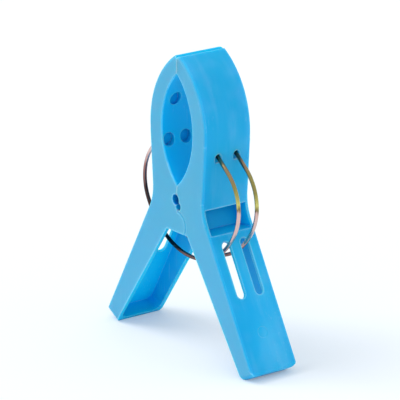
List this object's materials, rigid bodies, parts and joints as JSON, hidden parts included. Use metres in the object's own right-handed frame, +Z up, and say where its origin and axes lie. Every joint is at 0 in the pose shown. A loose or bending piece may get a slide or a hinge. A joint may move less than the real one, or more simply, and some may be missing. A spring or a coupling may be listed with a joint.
{
  "type": "clothespin",
  "caption": "Large sprung clothespin: two identical moulded halves that hook together at a pivot and are pulled shut by open ring springs of wire.",
  "frame": {"origin": "on the floor, midway between the two feet, in the middle of the width", "axes": "+Z up from the feet to the jaw tips, X across the width along the pivot, Y through the jaws from one leg to the other; the rear half is on the +Y side"},
  "size_m": [0.0226, 0.095, 0.12],
  "materials": {
    "plastic": "semi-matt moulded polypropylene, sky blue",
    "plated_wire": "spring steel wire, yellow passivated zinc plating with pink and green tints"
  },
  "bodies": {
    "rear": {"rear_half": "plastic", "left_spring": "plated_wire", "right_spring": "plated_wire"},
    "front": {"front_half": "plastic"}
  },
  "joints": [
    {"name": "pivot", "type": "hinge", "parent": "rear", "child": "front", "pos_m": [0, 0, 0.052], "axis": [1, 0, 0], "range_deg": [0, 60], "stiffness_Nm_per_rad": 1.2, "springref_deg": -22.92, "deforming": ["left_spring", "right_spring"]}
  ]
}
